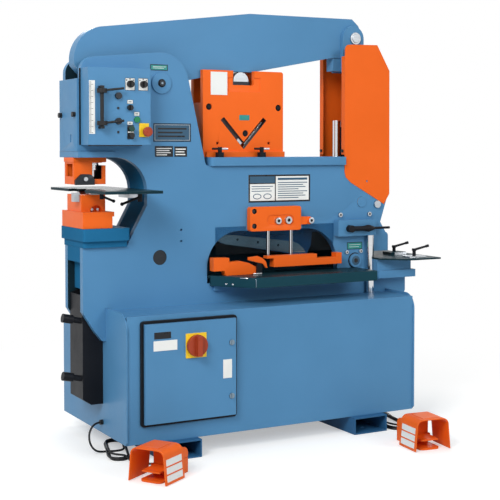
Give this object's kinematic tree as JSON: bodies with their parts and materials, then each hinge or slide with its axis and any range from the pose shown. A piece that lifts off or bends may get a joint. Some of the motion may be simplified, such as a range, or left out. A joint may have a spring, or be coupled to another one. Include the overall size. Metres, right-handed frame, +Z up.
{
  "type": "hydraulic ironworker",
  "caption": "Hydraulic ironworker with a swinging beam, punch station, angle shear, flat-bar shear and notcher on a sheet-steel base with fork tubes and foot switches.",
  "frame": {"origin": "centre of the base cabinet's footprint, on the floor, at the centre of the four anchor holes", "axes": "+Z up; +X along the machine towards the notcher; -Y towards the operator"},
  "size_m": [1.8311, 1.2212, 1.926],
  "materials": {
    "blue_enamel": "gloss enamel",
    "blue_dark": "gloss enamel",
    "orange_enamel": "gloss enamel",
    "table_enamel": "satin enamel",
    "black_plastic": "satin",
    "black_metal": "satin enamel",
    "machined_steel": "ground",
    "bright_steel": "polished",
    "tool_steel": "ground",
    "clear_shield": "clear",
    "green_plastic": "gloss",
    "red_plastic": "gloss",
    "label_plate": "printed",
    "cord_jacket": "satin",
    "control_plastic": "satin"
  },
  "bodies": {
    "machine": {"base_cabinet": "blue_enamel", "fork_tubes": "blue_dark", "front_side_plate": "blue_enamel", "rear_side_plate": "blue_enamel", "throat_liner": "blue_enamel", "punch_head": "blue_enamel", "deck_plate": "blue_enamel", "frame_pins": "machined_steel", "punch_cylinder": "blue_dark", "stripper": "orange_enamel", "die_block": "orange_enamel", "lower_tooling": "tool_steel", "punch_table": "table_enamel", "angle_shear_housing": "orange_enamel", "clamp_blocks": "black_metal", "ram_guard": "orange_enamel", "shear_table": "table_enamel", "hold_down_bridge": "orange_enamel", "shear_guides": "orange_enamel", "window_shield": "clear_shield", "notcher_head": "blue_enamel", "notcher_table": "table_enamel", "slug_bin": "black_metal", "control_box": "blue_enamel", "enclosure_frame": "black_metal", "control_gear": "control_plastic", "label_plates": "label_plate", "foot_switch_hoods": "orange_enamel", "foot_cords": "cord_jacket", "foot_cord_hanks": "cord_jacket"},
    "beam": {"swing_beam": "blue_enamel", "clevis_pin": "machined_steel"},
    "cylinder": {"main_cylinder_barrel": "black_metal"},
    "rod": {"main_cylinder_rod": "bright_steel"},
    "angle_ram": {"angle_ram": "tool_steel"},
    "shear_arm": {"shear_arm": "tool_steel"},
    "notcher_punch": {"notcher_punch": "tool_steel"},
    "punch_ram": {"punch_ram": "bright_steel"},
    "hold_down": {"hold_down_bar": "orange_enamel"},
    "table_lever_left": {"table_lever_left": "black_metal"},
    "table_lever_right": {"table_lever_right": "black_metal"},
    "clamp_screw_left": {"clamp_screw_left": "black_metal"},
    "clamp_screw_right": {"clamp_screw_right": "black_metal"},
    "notcher_handle": {"notcher_handle": "black_metal"},
    "notcher_clamp_front": {"notcher_clamp_front": "black_metal"},
    "notcher_clamp_rear": {"notcher_clamp_rear": "black_metal"},
    "stroke_lever_upper": {"stroke_lever_upper": "black_metal"},
    "stroke_lever_lower": {"stroke_lever_lower": "black_metal"},
    "selector_left": {"selector_left": "black_plastic"},
    "selector_right": {"selector_right": "black_plastic"},
    "selector_small": {"selector_small": "black_plastic"},
    "start_button": {"start_button": "green_plastic"},
    "stop_button": {"stop_button": "black_plastic"},
    "emergency_stop": {"emergency_stop": "red_plastic"},
    "door": {"enclosure_door": "blue_enamel"},
    "latch_upper": {"latch_upper": "machined_steel"},
    "latch_lower": {"latch_lower": "machined_steel"},
    "main_switch": {"main_switch_knob": "red_plastic"},
    "treadle_left": {"treadle_left": "orange_enamel"},
    "treadle_right": {"treadle_right": "orange_enamel"}
  },
  "joints": [
    {"name": "beam_swing", "type": "hinge", "parent": "machine", "child": "beam", "pos_m": [-0.468, -0.041, 1.587], "axis": [0, 1, 0], "range_deg": [0, 13]},
    {"name": "cylinder_tilt", "type": "hinge", "parent": "machine", "child": "cylinder", "pos_m": [0.583, -0.041, 1.047], "axis": [0, 1, 0], "range_deg": [0, 3.26]},
    {"name": "rod_retract", "type": "slide", "parent": "cylinder", "child": "rod", "axis": [0, 0, -1], "range_m": [0, 0.2425]},
    {"name": "angle_ram_slide", "type": "slide", "parent": "machine", "child": "angle_ram", "axis": [0, 0, -1], "range_m": [0, 0.0999]},
    {"name": "shear_arm_swing", "type": "hinge", "parent": "machine", "child": "shear_arm", "pos_m": [0.672, -0.041, 1.034], "axis": [0, -1, 0], "range_deg": [0, 10.32]},
    {"name": "notcher_punch_slide", "type": "slide", "parent": "machine", "child": "notcher_punch", "axis": [0, 0, -1], "range_m": [0, 0.0301]},
    {"name": "punch_ram_slide", "type": "slide", "parent": "machine", "child": "punch_ram", "axis": [0, 0, -1], "range_m": [0, 0.046]},
    {"name": "hold_down_slide", "type": "slide", "parent": "machine", "child": "hold_down", "axis": [0, 0, 1], "range_m": [-0.0135, 0.025]},
    {"name": "table_lever_left_turn", "type": "hinge", "parent": "machine", "child": "table_lever_left", "pos_m": [-0.765, -0.2, 1.1], "axis": [0, 0, 1], "range_deg": [-35, 35]},
    {"name": "table_lever_right_turn", "type": "hinge", "parent": "machine", "child": "table_lever_right", "pos_m": [-0.59, -0.2, 1.1], "axis": [0, 0, 1], "range_deg": [-35, 35]},
    {"name": "clamp_screw_left_turn", "type": "hinge", "parent": "machine", "child": "clamp_screw_left", "pos_m": [-0.178, -0.146, 1.29], "axis": [0, 0, 1], "range_deg": [-180, 180]},
    {"name": "clamp_screw_right_turn", "type": "hinge", "parent": "machine", "child": "clamp_screw_right", "pos_m": [0.037, -0.146, 1.29], "axis": [0, 0, 1], "range_deg": [-180, 180]},
    {"name": "notcher_handle_turn", "type": "hinge", "parent": "machine", "child": "notcher_handle", "pos_m": [0.486, -0.201, 0.924], "axis": [0, -1, 0], "range_deg": [0, 60]},
    {"name": "notcher_clamp_front_turn", "type": "hinge", "parent": "machine", "child": "notcher_clamp_front", "pos_m": [0.823, -0.249, 0.795], "axis": [0, 0, 1], "range_deg": [-60, 60]},
    {"name": "notcher_clamp_rear_turn", "type": "hinge", "parent": "machine", "child": "notcher_clamp_rear", "pos_m": [0.818, -0.091, 0.79], "axis": [0, 0, 1], "range_deg": [-60, 60]},
    {"name": "stroke_lever_upper_turn", "type": "hinge", "parent": "machine", "child": "stroke_lever_upper", "pos_m": [-0.786, -0.262, 1.543], "axis": [0, 0, 1], "range_deg": [-60, 0]},
    {"name": "stroke_lever_lower_turn", "type": "hinge", "parent": "machine", "child": "stroke_lever_lower", "pos_m": [-0.786, -0.262, 1.408], "axis": [0, 0, 1], "range_deg": [-60, 0]},
    {"name": "selector_left_turn", "type": "hinge", "parent": "machine", "child": "selector_left", "pos_m": [-0.651, -0.241, 1.574], "axis": [0, -1, 0], "range_deg": [-45, 45]},
    {"name": "selector_right_turn", "type": "hinge", "parent": "machine", "child": "selector_right", "pos_m": [-0.591, -0.241, 1.574], "axis": [0, -1, 0], "range_deg": [-45, 45]},
    {"name": "selector_small_turn", "type": "hinge", "parent": "machine", "child": "selector_small", "pos_m": [-0.653, -0.241, 1.475], "axis": [0, -1, 0], "range_deg": [-45, 45]},
    {"name": "start_button_push", "type": "slide", "parent": "machine", "child": "start_button", "axis": [0, 1, 0], "range_m": [0, 0.005], "stiffness_N_per_m": 400, "springref_m": -0.004},
    {"name": "stop_button_push", "type": "slide", "parent": "machine", "child": "stop_button", "axis": [0, 1, 0], "range_m": [0, 0.005], "stiffness_N_per_m": 400, "springref_m": -0.004},
    {"name": "emergency_stop_push", "type": "slide", "parent": "machine", "child": "emergency_stop", "axis": [0, 1, 0], "range_m": [0, 0.007], "stiffness_N_per_m": 600, "springref_m": -0.004},
    {"name": "door_swing", "type": "hinge", "parent": "machine", "child": "door", "pos_m": [-0.655, -0.4003, 0.3685], "axis": [0, 0, -1], "range_deg": [0, 115]},
    {"name": "latch_upper_turn", "type": "hinge", "parent": "door", "child": "latch_upper", "pos_m": [-0.253, -0.4003, 0.474], "axis": [0, -1, 0], "range_deg": [0, 90]},
    {"name": "latch_lower_turn", "type": "hinge", "parent": "door", "child": "latch_lower", "pos_m": [-0.253, -0.4003, 0.244], "axis": [0, -1, 0], "range_deg": [0, 90]},
    {"name": "main_switch_turn", "type": "hinge", "parent": "door", "child": "main_switch", "pos_m": [-0.423, -0.4043, 0.475], "axis": [0, -1, 0], "range_deg": [0, 90]},
    {"name": "treadle_left_press", "type": "hinge", "parent": "machine", "child": "treadle_left", "pos_m": [-0.67032, -0.60491, 0.04], "axis": [0.5461, -0.8377, 0], "range_deg": [0, 12], "stiffness_Nm_per_rad": 4, "springref_deg": -14.32},
    {"name": "treadle_right_press", "type": "hinge", "parent": "machine", "child": "treadle_right", "pos_m": [0.52821, -0.68801, 0.04], "axis": [0.9943, -0.1063, 0], "range_deg": [0, 12], "stiffness_Nm_per_rad": 4, "springref_deg": -14.32}
  ],
  "couplings": [
    {"joint": "cylinder_tilt", "follows": "beam_swing", "ratio": 0.25},
    {"joint": "rod_retract", "follows": "beam_swing", "m_per_rad": 1.0666},
    {"joint": "angle_ram_slide", "follows": "beam_swing", "m_per_rad": 0.43941},
    {"joint": "shear_arm_swing", "follows": "beam_swing", "ratio": 0.7915},
    {"joint": "notcher_punch_slide", "follows": "beam_swing", "m_per_rad": 0.13178}
  ]
}
